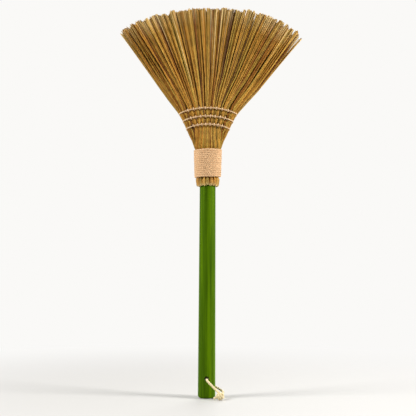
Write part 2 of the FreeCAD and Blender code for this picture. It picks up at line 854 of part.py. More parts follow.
os.makedirs("parts", exist_ok=True)
for piece in pieces:
    piece.Shape.exportStep(f"parts/{piece.Label}.step")
    solids = len(piece.Shape.Solids)
    print(f"{piece.Label}: {solids} solid{'s' if solids > 1 else ''}, {piece.Shape.Volume:.0f} mm3")
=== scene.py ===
"""Hand broom: straw fan bound and stitched on a lacquered stick, with a hanging cord, dressed over its solids."""
import math
import random

import bpy
from mathutils import Matrix, Vector


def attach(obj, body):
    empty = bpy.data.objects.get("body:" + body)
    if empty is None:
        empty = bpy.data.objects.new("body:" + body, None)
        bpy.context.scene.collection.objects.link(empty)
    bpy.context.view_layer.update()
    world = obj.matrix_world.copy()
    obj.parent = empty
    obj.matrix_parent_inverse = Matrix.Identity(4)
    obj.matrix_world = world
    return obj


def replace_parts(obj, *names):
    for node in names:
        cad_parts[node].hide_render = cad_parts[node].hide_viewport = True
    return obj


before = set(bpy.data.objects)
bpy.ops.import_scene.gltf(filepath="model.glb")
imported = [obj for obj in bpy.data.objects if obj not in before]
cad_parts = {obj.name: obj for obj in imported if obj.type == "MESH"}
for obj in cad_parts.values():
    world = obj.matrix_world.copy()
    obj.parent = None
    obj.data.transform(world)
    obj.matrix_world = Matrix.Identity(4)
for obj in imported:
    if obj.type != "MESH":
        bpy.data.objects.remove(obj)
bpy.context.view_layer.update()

MM = 0.001
FULL_TURN = 2 * math.pi

# Sizes of the solids, in millimetres.
COLLAR_BOTTOM, BINDING_BOTTOM, HANDLE_TOP = 277.0, 288.0, 312.0
APEX = 306.5                                # height of the point that the fan spreads from
COLUMNS = 9                                 # tufts across the fan, counted from the right
BUNDLES = 4                                 # across the outside of each tuft
ROW_REACHES = {"lower": 51.0, "middle": 61.8, "upper": 72.6}
ROW_LIFT = 2.5                              # the rows lie this much further out at the fan's edges
SEWN_TOP, FLARE_REACH, TIP_REACH = 78.0, 118.0, 209.0
FAN_STEPS = tuple(                          # reach, and the angles of the fan's edge and of its outer slits
    (reach, math.radians(edge), math.radians(slit)) for reach, edge, slit in (
        (38.0, 34.2, 26.4), (45.6, 31.9, 21.6), (51.0, 30.0, 20.85), (61.8, 29.6, 20.85), (72.6, 29.7, 20.85),
        (SEWN_TOP, 30.3, 20.85), (90.0, 31.6, 21.9), (104.0, 32.7, 23.15), (FLARE_REACH, 33.3, 24.2),
        (140.0, 33.7, 25.2), (TIP_REACH, 33.9, 27.12)))
FAN_LEAN = math.radians(0.8)                # the free straw leans this much to the right
SEWN_HALF_DEPTH, TIP_HALF_DEPTH = 14.0, 18.0
CORE_SHARE = 0.36                           # the filling's share of the fan's depth
END_CORE_SHARE = 0.15                       # and of an end tuft, which has no filling of its own
CORNER = 6.5                                # rounding of the fan's ends
NECK = (                                    # level and outer radius of the straw round the handle
    (276.0, 14.3), (278.5, 15.0), (286.0, 16.1), (288.0, 14.8), (290.0, 13.8), (HANDLE_TOP, 14.5),
    (323.0, 15.2), (325.4, 16.6), (326.8, 17.9), (329.0, 18.6))
TIP_SHARES = {                              # how far each tuft reaches, of the tip reach
    "front": (1.004, 1.010, 1.001, 0.984, 0.976, 0.979, 0.985, 0.992, 0.998),
    "back": (0.998, 1.002, 0.994, 0.989, 0.982, 0.985, 0.979, 0.996, 1.003),
    "core": (1.000, 1.005, 0.990, 0.978, 0.985, 0.974, 0.988, 0.995, 1.000),
}
SIDES = {"front": -1, "back": 1}
BINDING_TWINE, BINDING_PITCH, BINDING_TURNS = 3.6, 2.58, 14   # its turns are pressed into each other
BINDING_RADII = (15.9, 17.1)                # middle of the twine at the first and the last turn
BAND_TWINE, TIE_TWINE = 2.0, 1.3
CORD_DIAMETER = 3.2
BACKDROP, FLOOR_PAINT = "#FAF9F7", "#C6C4C0"


def plug(tree, node, inputs):
    """Sets a node's inputs: each takes a value, a socket, or another node, whose first live output it gets."""
    for key, value in inputs.items():
        named = isinstance(key, str)
        socket = next(s for s in node.inputs if s.enabled and s.name == key) if named else node.inputs[key]
        if isinstance(value, bpy.types.Node):
            value = next(s for s in value.outputs if s.enabled)
        if isinstance(value, bpy.types.NodeSocket):
            tree.links.new(value, socket)
        else:
            socket.default_value = value


def add(tree, kind, inputs=None, **settings):
    """Adds a node with its settings, then its inputs."""
    node = tree.nodes.new(kind)
    for name, value in settings.items():
        setattr(node, name, value)
    plug(tree, node, inputs or {})
    return node


def maths(tree, operation, *values):
    """Adds a Math node that works on the values."""
    return add(tree, "ShaderNodeMath", dict(enumerate(values)), operation=operation)


def colour(code):
    """Linear RGBA of an sRGB hex code."""
    shares = [int(code[i:i + 2], 16) / 255 for i in (1, 3, 5)]
    return (*[s / 12.92 if s <= 0.04045 else ((s + 0.055) / 1.055) ** 2.4 for s in shares], 1.0)


def per_metre(millimetres):
    """Scale of a pattern whose features are that far apart."""
    return 1 / (millimetres * MM)


# Materials


def new_finish(name, **values):
    """A material with a Principled shader, its constant inputs set."""
    finish = bpy.data.materials.new(name)
    finish.use_nodes = True
    tree = finish.node_tree
    shader = tree.nodes["Principled BSDF"]
    plug(tree, shader, {label.replace("_", " "): value for label, value in values.items()})
    return finish, tree, shader


def stored(tree, name):
    """The value that the mesh holds under a name."""
    return add(tree, "ShaderNodeAttribute", attribute_name=name).outputs["Fac"]


def set_stops(ramp, stops):
    """Gives a Color Ramp node its stops: place and hex code."""
    stop_list = ramp.color_ramp.elements
    while len(stop_list) < len(stops):
        stop_list.new(1.0)
    for stop, (place, code) in zip(stop_list, stops):
        stop.position, stop.color = place, colour(code)
    return ramp


def dried_broomcorn():
    """Dried broomcorn: a waxy grass stem, each straw its own gold, olive or red-brown, paler where it is cut."""
    finish, tree, shader = new_finish("dried_broomcorn", IOR=1.5, Roughness=0.55, Specular_IOR_Level=0.12)
    stems = set_stops(add(tree, "ShaderNodeValToRGB", {"Fac": stored(tree, "tone")}), (
        (0.00, "#50300D"), (0.14, "#764418"), (0.27, "#985F1D"), (0.40, "#8E702A"), (0.53, "#B2792A"),
        (0.65, "#A28235"), (0.77, "#C4923E"), (0.88, "#9A8032"), (1.00, "#D8B878")))
    # Flecks and streaks about 0.6 mm wide and 12 mm long, along each straw.
    lie = add(tree, "ShaderNodeCombineXYZ", {
        "X": stored(tree, "run"), "Y": stored(tree, "around"), "Z": stored(tree, "lot")})
    drawn = add(tree, "ShaderNodeMapping", {"Vector": lie, "Scale": (per_metre(12.0), 5.0, 900.0)})
    streak = add(tree, "ShaderNodeTexNoise", {"Vector": drawn, "Scale": 1.0, "Detail": 3.0})
    streak_shade = add(tree, "ShaderNodeMapRange", {
        "Value": streak.outputs["Fac"], "From Min": 0.3, "From Max": 0.7, "To Min": 0.74, "To Max": 1.18})
    # Weathered blotches about 7 mm across.
    place = add(tree, "ShaderNodeTexCoord").outputs["Object"]
    blotch = add(tree, "ShaderNodeTexNoise", {"Vector": place, "Scale": per_metre(7.0), "Detail": 2.0})
    blotch_shade = add(tree, "ShaderNodeMapRange", {
        "Value": blotch.outputs["Fac"], "From Min": 0.35, "From Max": 0.62, "To Min": 0.8, "To Max": 1.08})
    shade = maths(tree, "MULTIPLY", streak_shade.outputs["Result"], blotch_shade.outputs["Result"])
    stained = add(tree, "ShaderNodeMix", {
        "Factor": 1.0, "A": stems.outputs["Color"], "B": shade}, data_type="RGBA", blend_type="MULTIPLY")
    tipped = add(tree, "ShaderNodeMix", {
        "Factor": stored(tree, "pale"), "A": stained, "B": colour("#F0D79A")}, data_type="RGBA")
    bump = add(tree, "ShaderNodeBump", {
        "Height": streak.outputs["Fac"], "Strength": 0.3, "Distance": 0.1 * MM})
    plug(tree, shader, {"Base Color": tipped, "Normal": bump})
    return finish


def spun_fibre(name, dark, light, roughness):
    """Spun plant fibre, soft and dull: pale ridges where the fibres catch light, darker between the plies."""
    finish, tree, shader = new_finish(
        name, IOR=1.5, Roughness=roughness, Specular_IOR_Level=0.2, Sheen_Weight=0.12, Sheen_Roughness=0.5)
    # Fibres, 14 round a ply, drawn out some 3 mm along it.
    lie = add(tree, "ShaderNodeCombineXYZ", {"X": stored(tree, "run"), "Y": stored(tree, "around")})
    drawn = add(tree, "ShaderNodeMapping", {"Vector": lie, "Scale": (per_metre(3.0), 14.0, 1.0)})
    fibres = add(tree, "ShaderNodeTexNoise", {"Vector": drawn, "Scale": 1.0, "Detail": 3.0})
    shade = set_stops(add(tree, "ShaderNodeValToRGB", {"Fac": fibres.outputs["Fac"]}), ((0.3, dark), (0.68, light)))
    bump = add(tree, "ShaderNodeBump", {
        "Height": fibres.outputs["Fac"], "Strength": 0.4, "Distance": 0.08 * MM})
    plug(tree, shader, {"Base Color": shade, "Normal": bump})
    return finish


def green_lacquer():
    """Satin green lacquer brushed on turned wood: soft lighter and darker streaks along the stick."""
    finish, tree, shader = new_finish(
        "green_lacquer_on_wood", IOR=1.5, Roughness=0.4, Specular_IOR_Level=0.04, Sheen_Weight=0.3,
        Sheen_Roughness=0.5, Sheen_Tint=colour("#A8E000"))
    place = add(tree, "ShaderNodeTexCoord").outputs["Object"]
    # Streaks some 4 mm wide, with finer grain lines in them, drawn out some 130 mm along the stick.
    drawn = add(tree, "ShaderNodeMapping", {"Vector": place, "Scale": (1.0, 1.0, 0.03)})
    grain = add(tree, "ShaderNodeTexNoise", {"Vector": drawn, "Scale": per_metre(4.0), "Detail": 3.0})
    shade = set_stops(add(tree, "ShaderNodeValToRGB", {"Fac": grain.outputs["Fac"]}), (
        (0.34, "#2F4900"), (0.5, "#3B5900"), (0.66, "#4D6C00")))
    bump = add(tree, "ShaderNodeBump", {
        "Height": grain.outputs["Fac"], "Strength": 0.12, "Distance": 0.15 * MM})
    plug(tree, shader, {"Base Color": shade, "Normal": bump})
    return finish


def galvanised_steel():
    """Galvanised wire and nails: grey zinc with a fine mottle."""
    finish, tree, shader = new_finish("galvanised_steel", Metallic=1.0)
    place = add(tree, "ShaderNodeTexCoord").outputs["Object"]
    mottle = add(tree, "ShaderNodeTexNoise", {"Vector": place, "Scale": per_metre(0.8), "Detail": 2.0})
    shade = set_stops(add(tree, "ShaderNodeValToRGB", {"Fac": mottle.outputs["Fac"]}), (
        (0.35, "#8C9196"), (0.65, "#B4B9BD")))
    rough = add(tree, "ShaderNodeMapRange", {"Value": mottle.outputs["Fac"], "To Min": 0.3, "To Max": 0.5})
    plug(tree, shader, {"Base Color": shade, "Roughness": rough})
    return finish


STRAW = dried_broomcorn()
TWINE = spun_fibre("jute_twine", "#BF976C", "#DAB48A", 0.9)
STITCHING = spun_fibre("stitching_twine", "#C8A276", "#E4C69C", 0.85)
CORD = spun_fibre("cotton_cord", "#D2BE8C", "#EEE0B8", 0.8)
LACQUER = green_lacquer()
ZINC = galvanised_steel()


# Trees that grow the repeated pieces


def new_tree(name, *inputs):
    """A geometry tree with its named inputs, given as socket kind, name and default."""
    tree = bpy.data.node_groups.new(name, "GeometryNodeTree")
    tree.interface.new_socket("Laid Lines", in_out="INPUT", socket_type="NodeSocketGeometry")
    for kind, label, default in inputs:
        socket = tree.interface.new_socket(label, in_out="INPUT", socket_type="NodeSocket" + kind)
        if default is not None:
            socket.default_value = default
    tree.interface.new_socket("Finish", in_out="INPUT", socket_type="NodeSocketMaterial")
    tree.interface.new_socket("Grown", in_out="OUTPUT", socket_type="NodeSocketGeometry")
    return tree, add(tree, "NodeGroupInput").outputs


def store(tree, geometry, name, value):
    """Gives each point of a geometry a value under a name."""
    return add(tree, "GeometryNodeStoreNamedAttribute", {
        "Geometry": geometry, "Name": name, "Value": value}, data_type="FLOAT")


def close_tree(tree, inlet, swept):
    """Ends a tree: smooth, made real, and given its finish."""
    smooth = add(tree, "GeometryNodeSetShadeSmooth", {"Geometry": swept})
    real = add(tree, "GeometryNodeRealizeInstances", {"Geometry": smooth})
    dressed = add(tree, "GeometryNodeSetMaterial", {"Geometry": real, "Material": inlet["Finish"]})
    add(tree, "NodeGroupOutput", {"Grown": dressed})
    return tree


def straw_tree():
    """Straws along laid lines: each sways by itself towards its tip, ends at its own length, and keeps its girth."""
    tree, inlet = new_tree(
        "straws", ("Float", "Sway", 0.8 * MM), ("Float", "Sway Length", 60 * MM), ("Float", "Ragged Share", 0.008),
        ("Int", "Sides", 6), ("Int", "Seed", 1))
    lines = add(tree, "GeometryNodeMeshToCurve", {"Mesh": inlet["Laid Lines"]})
    chance = add(tree, "FunctionNodeRandomValue", {"Seed": inlet["Seed"]})
    own = add(tree, "GeometryNodeFieldOnDomain", {"Value": chance}, domain="CURVE")
    cut = maths(tree, "MULTIPLY", own, inlet["Ragged Share"])
    kept = maths(tree, "SUBTRACT", 1.0, cut)
    ragged = add(tree, "GeometryNodeTrimCurve", {"Curve": lines, "End": kept})
    pace = maths(tree, "DIVIDE", 1.0, inlet["Sway Length"])
    apart = maths(tree, "MULTIPLY", own, 100.0)
    wind = add(tree, "ShaderNodeTexNoise", {
        "Vector": add(tree, "GeometryNodeInputPosition"), "W": apart, "Scale": pace, "Detail": 1.0},
        noise_dimensions="4D")
    height = add(tree, "GeometryNodeInputNamedAttribute", {"Name": "height"}, data_type="FLOAT")
    reach = maths(tree, "POWER", height, 1.5)
    strength = maths(tree, "MULTIPLY", reach, inlet["Sway"])
    centred = add(tree, "ShaderNodeVectorMath", {0: wind.outputs["Color"], 1: (0.5, 0.5, 0.5)}, operation="SUBTRACT")
    push = add(tree, "ShaderNodeVectorMath", {0: centred, "Scale": strength}, operation="SCALE")
    swayed = add(tree, "GeometryNodeSetPosition", {"Geometry": ragged, "Offset": push})
    girth = add(tree, "GeometryNodeInputNamedAttribute", {"Name": "girth"}, data_type="FLOAT")
    along = add(tree, "GeometryNodeSplineParameter")
    ran = store(tree, swayed, "run", along.outputs["Length"])
    drawn = store(tree, ran, "lot", own)
    outline = add(tree, "GeometryNodeCurvePrimitiveCircle", {"Resolution": inlet["Sides"], "Radius": 1.0})
    marked = store(tree, outline, "around", along.outputs["Factor"])
    swept = add(tree, "GeometryNodeCurveToMesh", {
        "Curve": drawn, "Profile Curve": marked, "Scale": girth, "Fill Caps": True})
    return close_tree(tree, inlet, swept)


def twine_tree():
    """Laid twine along lines: plies twisted round each other, a whole number of times."""
    tree, inlet = new_tree(
        "laid_twine", ("Float", "Diameter", 2 * MM), ("Float", "Lay Length", 6 * MM),
        ("Float", "Ring Length", 0.8 * MM), ("Float", "Ply Share", 0.295), ("Int", "Plies", 3), ("Int", "Sides", 8))
    lines = add(tree, "GeometryNodeMeshToCurve", {"Mesh": inlet["Laid Lines"]})
    ringed = add(tree, "GeometryNodeResampleCurve", {"Curve": lines, "Length": inlet["Ring Length"]}, mode="LENGTH")
    along = add(tree, "GeometryNodeSplineParameter")
    length = add(tree, "GeometryNodeSplineLength")
    lays = maths(tree, "DIVIDE", length.outputs["Length"], inlet["Lay Length"])
    whole = maths(tree, "ROUND", lays)
    turns = maths(tree, "MULTIPLY", whole, along.outputs["Factor"])
    tilt = maths(tree, "MULTIPLY", turns, FULL_TURN)
    twisted = add(tree, "GeometryNodeSetCurveTilt", {"Curve": ringed, "Tilt": tilt})
    marked = store(tree, twisted, "run", along.outputs["Length"])
    ply = maths(tree, "MULTIPLY", inlet["Diameter"], inlet["Ply Share"])
    radius = maths(tree, "MULTIPLY", inlet["Diameter"], 0.5)
    stand = maths(tree, "SUBTRACT", radius, ply)
    ply_ring = add(tree, "GeometryNodeCurvePrimitiveCircle", {"Resolution": inlet["Sides"], "Radius": ply})
    ply_marked = store(tree, ply_ring, "around", along.outputs["Factor"])
    centres = add(tree, "GeometryNodeCurvePrimitiveCircle", {"Resolution": inlet["Plies"], "Radius": stand})
    plies = add(tree, "GeometryNodeInstanceOnPoints", {"Points": centres, "Instance": ply_marked})
    outline = add(tree, "GeometryNodeRealizeInstances", {"Geometry": plies})
    swept = add(tree, "GeometryNodeCurveToMesh", {
        "Curve": marked, "Profile Curve": outline, "Scale": 1.0, "Fill Caps": True})
    return close_tree(tree, inlet, swept)


STRAWS = straw_tree()
LAID_TWINE = twine_tree()


def laid_lines(name, lines, closed=False, **marks):
    """A mesh of edges along each line of points in millimetres; marks give each point its values."""
    mesh = bpy.data.meshes.new(name)
    edges, first = [], 0
    for line in lines:
        edges += [(first + i, first + i + 1) for i in range(len(line) - 1)]
        if closed:
            edges.append((first + len(line) - 1, first))
        first += len(line)
    mesh.from_pydata([p * MM for line in lines for p in line], edges, [])
    for mark, values in marks.items():
        mesh.attributes.new(mark, "FLOAT", "POINT").data.foreach_set("value", values)
    return mesh


def grown(name, tree, lines, body, slot, finish, **inputs):
    """A piece that a tree grows on laid lines, as a plain mesh that rides on a body."""
    piece = bpy.data.objects.new(name, lines)
    bpy.context.scene.collection.objects.link(piece)
    growth = piece.modifiers.new(name, "NODES")
    growth.node_group = tree
    values = {label.replace("_", " "): value for label, value in inputs.items()}
    values["Finish"] = finish
    for socket in tree.interface.items_tree:
        if socket.in_out == "INPUT" and socket.name in values:
            growth[socket.identifier] = values[socket.name]
    depsgraph = bpy.context.evaluated_depsgraph_get()
    made = bpy.data.meshes.new_from_object(
        piece.evaluated_get(depsgraph), preserve_all_data_layers=True, depsgraph=depsgraph)
    piece.modifiers.clear()
    piece.data = made
    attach(piece, body)
    return piece


# Camera, at the photograph's height and distance


def make_camera():
    """The photograph's view: a little below the broom's middle, turned up and tilted a little."""
    eye = Vector((0.6, -1340.0, 192.0)) * MM
    pitch, roll = math.radians(2.41), math.radians(0.3)
    lens = bpy.data.cameras.new("camera")
    lens.sensor_width, lens.lens = 36.0, 88.1
    camera = bpy.data.objects.new("camera", lens)
    bpy.context.scene.collection.objects.link(camera)
    camera.matrix_world = (
        Matrix.Translation(eye) @ Matrix.Rotation(math.pi / 2 + pitch, 4, "X") @ Matrix.Rotation(roll, 4, "Z"))
    bpy.context.scene.camera = camera


make_camera()


# Hanging loop

CORD_ROUTE = (                              # from the knot through the handle and back to the knot
    (16.4, -20.2, 8.8), (10.0, -16.8, 14.8), (2.4, -14.6, 22.0), (0.5, -13.2, 24.3), (0.2, -9.2, 24.9),
    (1.6, -3.0, 26.2), (-1.5, 6.0, 25.3), (-0.8, 12.8, 25.3), (1.7, 15.1, 23.3), (9.4, 14.4, 13.6), (19.0, 7.6, 9.6),
    (22.6, -6.0, 7.6), (19.9, -17.4, 6.6))
KNOT_CENTRE = Vector((17.6, -21.4, 5.3))
KNOT_AXIS = Vector((0.90, -0.16, 0.40))     # its turns are wound round this
KNOT_TAILS = (Vector((-0.93, -0.24, -0.27)), Vector((0.30, 0.93, -0.20)))
KNOT_CORD_SHARE = 0.92                      # the cord is drawn thinner in the knot
CORD_LAY = 9.0                              # length of one turn of its plies


def spline_points(name, route):
    """Points of the smooth line that a route in millimetres steers, in millimetres."""
    curve = bpy.data.curves.new(name, "CURVE")
    curve.dimensions = "3D"
    spline = curve.splines.new("NURBS")
    spline.points.add(len(route) - 1)
    for point, place in zip(spline.points, route):
        point.co = (*[v * MM for v in place], 1.0)
    spline.order_u = 3
    spline.use_endpoint_u = True
    curve.resolution_u = 12
    line = bpy.data.objects.new(name, curve)
    bpy.context.scene.collection.objects.link(line)
    depsgraph = bpy.context.evaluated_depsgraph_get()
    mesh = bpy.data.meshes.new_from_object(line.evaluated_get(depsgraph), depsgraph=depsgraph)
    points = [v.co / MM for v in mesh.vertices]
    bpy.data.objects.remove(line)
    return points


def knot_lines():
    """A knot drawn tight, as turns over a ball, the tail that comes out of its middle and the one behind it."""
    facing = KNOT_AXIS.normalized().to_track_quat("Z", "X")
    turns, half_length, wide, roundness, steps = 2.8, 3.4, 3.75, 0.66, 84
    wound = []
    for i in range(steps + 1):
        along, turn = 2 * i / steps - 1, FULL_TURN * turns * i / steps
        reach = wide * math.sqrt(1 - (roundness * along) ** 2)
        place = Vector((reach * math.cos(turn), reach * math.sin(turn), half_length * along))
        wound.append(KNOT_CENTRE + facing @ place)
    middle, behind = KNOT_TAILS
    core = [KNOT_CENTRE + KNOT_AXIS.normalized() * out for out in (4.0, 2.5, 0.0, -2.5)]
    core += [KNOT_CENTRE + middle.normalized() * out for out in (5.0, 7.2, 9.0)]
    back = [KNOT_CENTRE + behind.normalized() * out for out in (1.0, 3.5, 6.0, 7.8, 9.0)]
    return [wound, core, back]


def make_hang_loop():
    """The cord and its knot, which swing together."""
    path = spline_points("hang_cord_line", CORD_ROUTE)
    cord = grown(
        "hang_cord_rope", LAID_TWINE, laid_lines("hang_cord_rope", [path]), "hang_loop", "cord", CORD,
        Diameter=CORD_DIAMETER * MM, Lay_Length=CORD_LAY * MM, Ring_Length=0.6 * MM, Sides=10)
    knot = grown(
        "hang_knot_rope", LAID_TWINE, laid_lines("hang_knot_rope", knot_lines()), "hang_loop", "cord", CORD,
        Diameter=KNOT_CORD_SHARE * CORD_DIAMETER * MM, Lay_Length=CORD_LAY * MM, Ring_Length=0.5 * MM, Sides=10)
    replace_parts(cord, "hang_cord")
    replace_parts(knot, "hang_cord_knot")


make_hang_loop()


# Straw

STRAW_INSET = 0.6                           # middle of the outermost straws, in from the fan's outline
EDGE_SWELL = (1.7, 0.4)                     # how far the straw swells past the fan's edge, at the first and last row
EDGE_SWELL_FADE = 12.0                      # and the reach over which that ends below and above the rows
ROOT_REACHES = (38.0, 45.6)                 # steps of a stem between the neck and the rows
SEWN_STEPS = (51.0, 56.4, 61.8, 67.2, 72.6)     # the rows, and halfway between them
OPEN_STEPS = (82.0, 98.0, FLARE_REACH, 148.0, 182.0)     # above the rows, below the tip
TIE_SQUEEZE = 0.68                          # a tuft's width at a row, of its width between the rows
ROW_SWELL, ROW_PINCH = 1.9, 0.8             # how far its face swells between the rows and is drawn in at them
END_ROUNDING = 0.8                          # share of that swell that an end tuft has
SLIT_DROP = 0.2                             # how far a tuft's edges drop in between the rows
HELD_SHARE = 0.8                            # a tuft's width just above the ties, of its width at the flare
MARK_START = 30.0                           # reach at which the straws' marks of height begin


def share_between(low, high, value):
    """0 up to the low value, 1 from the high one, in proportion between them."""
    return min(1.0, max(0.0, (value - low) / (high - low)))


def neck_radius(level):
    """Outer radius of the straw at a level of the neck."""
    for (low, narrow), (high, wide) in zip(NECK, NECK[1:]):
        if level <= high:
            return narrow + (wide - narrow) * max(0.0, (level - low) / (high - low))
    return NECK[-1][1]


def ring_place(column, side, across, inset, level):
    """Place of a straw in the neck: across its tuft's sector, and in from the outside of the straw."""
    radius = neck_radius(level) - inset
    turn = math.pi * (column + across) / COLUMNS
    return Vector((radius * math.cos(turn), side * radius * math.sin(turn), level))


def between(steps, reach):
    """Values of a table of steps at a reach, in proportion between its rows."""
    for low, high in zip(steps, steps[1:]):
        if reach <= high[0]:
            share = max(0.0, (reach - low[0]) / (high[0] - low[0]))
            return [a + (b - a) * share for a, b in zip(low[1:], high[1:])]
    return list(steps[-1][1:])


def fan_place(column, side, across, layer, reach):
    """Place of a straw in the fan: across its column, and out from the filling to the face by its layer."""
    edge_angle, slit_angle = between(FAN_STEPS, reach)
    edge_angle += (edge_swell(reach) - STRAW_INSET) / reach
    (half_depth,) = between(((SEWN_TOP, SEWN_HALF_DEPTH), (TIP_REACH, TIP_HALF_DEPTH)), reach)
    half_depth -= STRAW_INSET
    if 0 < column < COLUMNS - 1:
        angle = slit_angle * (1 - 2 * (column + across - 1) / (COLUMNS - 2))
        depth = half_depth * (CORE_SHARE + (1 - CORE_SHARE) * layer)
    else:
        # An end tuft also wraps round the fan's edge, from the slit to the middle of the end.
        wrap = across if column == 0 else 1 - across
        lean = wrap * math.pi / 2
        outness = (END_CORE_SHARE + (1 - END_CORE_SHARE) * layer) / max(math.cos(lean), math.sin(lean))
        angle = slit_angle + (edge_angle - slit_angle) * outness * math.cos(lean)
        to_edge = min(CORNER, (edge_angle - angle) * reach)
        corner_depth = half_depth - CORNER + math.sqrt(CORNER ** 2 - (CORNER - to_edge) ** 2)
        depth = min(half_depth * outness * math.sin(lean), corner_depth)
        angle = angle if column == 0 else -angle
    angle += FAN_LEAN * share_between(SEWN_TOP, FLARE_REACH, reach)
    return Vector((reach * math.sin(angle), side * depth, APEX + reach * math.cos(angle)))


def beside(place, aside, outward):
    """A place in the fan moved aside, along its arc, and outward, along the depth."""
    rise = Vector((place.x, 0, place.z - APEX)).normalized()
    return place + Vector((rise.z, 0, -rise.x)) * aside + Vector((0, outward, 0))


def edge_swell(reach):
    """Swell of the sewn straw at the fan's edges, which ends some way below and above the rows."""
    low, high = ROW_REACHES["lower"], ROW_REACHES["upper"]
    fade = max(0.0, 1 - max(low - reach, reach - high, 0.0) / EDGE_SWELL_FADE)
    first, last = EDGE_SWELL
    return fade * (first + (last - first) * share_between(low, high, reach))


def opened(across, reach):
    """Place across its tuft of a straw above the rows, where the tuft opens slowly from the ties' hold."""
    share = share_between(ROW_REACHES["upper"], FLARE_REACH, reach)
    return 0.5 + (across - 0.5) * (HELD_SHARE + (1 - HELD_SHARE) * share)


def sewn_places(column, side, across, layer):
    """Places through the stitched rows: drawn in by the ties at each row, swelling between them."""
    places = []
    for step, reach in enumerate(SEWN_STEPS):
        at_row = step % 2 == 0
        shift = 0.5 + (across - 0.5) * TIE_SQUEEZE if at_row else across
        rounded = 1 - (2 * across - 1) ** 2 if 0 < column < COLUMNS - 1 else END_ROUNDING
        swell = side * layer * (-ROW_PINCH if at_row else ROW_SWELL * rounded - SLIT_DROP * (1 - rounded))
        out = ROW_LIFT * (2 * (column + across) / COLUMNS - 1) ** 2
        places.append(fan_place(column, side, shift, layer, reach + out) + Vector((0, swell, 0)))
    return places


def height_mark(place):
    """0 at the binding to 1 at the crown."""
    reach = math.hypot(place.x, max(0.0, place.z - APEX))
    return share_between(MARK_START, TIP_REACH, reach)


# Where the crown's clumps part: angle in degrees, and depth as a share of the reach.
CROWN_NOTCHES = (
    (-30.4, 0.024), (-27.9, 0.012), (-24.9, 0.016), (-22.6, 0.008), (-18.5, 0.010), (-15.5, 0.013), (-8.0, 0.006),
    (4.6, 0.006), (12.0, 0.008), (17.3, 0.010), (21.6, 0.012), (26.0, 0.020), (28.8, 0.026), (30.9, 0.020),
    (32.9, 0.030))
NOTCH_HALF_WIDTH = 0.5


def cut_share(tip):
    """Share of its length that a straw keeps at a tip's place, less in the notches between the clumps."""
    angle = math.degrees(math.atan2(tip.x, tip.z - APEX))
    return 1 - max(depth * max(0.0, 1 - abs(angle - middle) / NOTCH_HALF_WIDTH) for middle, depth in CROWN_NOTCHES)


# Tones are places on the straw's colour ramp, from 0 to 1.
BUNDLE_TONE, BUNDLE_TONE_SPREAD, END_TONE_SPREAD = 0.5, 0.19, 0.13
OLIVE_COLUMNS, OLIVE_CHANCE, OLIVE_TONES = 3, 0.65, (0.41, 0.63, 0.67)     # the fan's right has more olive straw
DARK_PATCHES = ((-7.0, 3.5), (8.5, 4.5), (17.5, 1.2))     # browner at the front: middle and half width in degrees
DARK_PATCH_DROP = 0.18
STEM_TONES, STEM_TONE_CHANCE, MOST_STEM_TONE = (0.25, 0.41, 0.41, 0.64, 0.66, 0.8), 0.8, 0.86
STRAW_TONE_SPREAD, ODD_STRAW_CHANCE = 0.12, 0.12
BUTT_TONE, BUTT_TONE_SPREAD = 0.52, 0.13
FILL_BUTT_TONE, FILL_BUTT_TONE_SPREAD = 0.34, 0.1

# Bleaching at the tips: how pale, and from which mark of height.
TIP_PALE, TIP_PALE_POWER, TIP_PALE_FROM = 0.9, 1.5, 0.93
BLEACHED_CHANCE, BLEACHED_PALE, BLEACHED_FROM = 0.05, 0.8, (0.55, 0.85)

# Butts under the binding. All girths are radii: a thick butt has its own at heights above its cut end, then at levels
# of the neck.
BUTT_SPLIT_CHANCE, BUTT_SPLIT_GIRTH = 0.4, 0.68
WHOLE_BUTT, SPLIT_BUTT, BUTT_SLIP = (0.5,), (0.25, 0.75), 0.08     # places across the tuft
BUTT_GIRTH_SHARES = (0.9, 1.1)
BUTT_FOOT = ((0.0, 2.0), (0.5, 2.45), (2.5, 2.55))
BUTT_NECK = ((283.5, 2.35), (286.3, 1.8), (288.5, 1.4), (292.0, 1.3), (HANDLE_TOP, 1.3))
BUTT_PALES = (0.5, 0.3, 0.1, 0.07, 0.05, 0.0, 0.0, 0.0)
BUTT_ENDS, FILL_BUTT_ENDS = (-0.8, 0.1), (-0.1, 0.9)     # height of the cut ends over the collar's bottom
BUTT_RISE, FILL_BUTT_RISE = 2.0, 1.8        # and how much higher they lie at the middle of the front and back
# A thin one has a place across the tuft and an inset, which grows by the second values at levels of the neck.
FILL_BUTTS = ((0.0, 2.3), (0.25, 3.0), (0.75, 3.0))
FILL_BUTT_NECK = ((282.0, 0.0), (285.0, 0.6), (288.5, 1.2), (HANDLE_TOP, 1.2))
FILL_BUTT_GIRTHS = (1.5, 1.6, 1.2, 1.0, 0.9)
FILL_BUTT_PALES = (0.3, 0.0, 0.0, 0.0, 0.0)

# Stems. Those at the outside of the neck are thinner.
STEM_LEVELS = (309.0, 318.0, 323.0, 326.4, 329.0)
STEM_CUT = (0.975, 1.0)                     # of its tuft's reach
STEM_ASIDE, STEM_OUTWARD = 1.2, 0.4         # how far its tip strays
OUTER_INSET, OUTER_STEM_GIRTHS, INNER_STEM_GIRTHS = 1.0, (0.62, 0.86), (0.85, 1.1)
STEM_GIRTHS = (                             # from the neck to the tip
    0.9, 0.9, 0.95, 1.0, 1.0, 1.0, 0.98, 0.88, 0.98, 0.85, 0.98, 0.85, 0.9, 0.88, 0.85, 0.8, 0.72, 0.55)

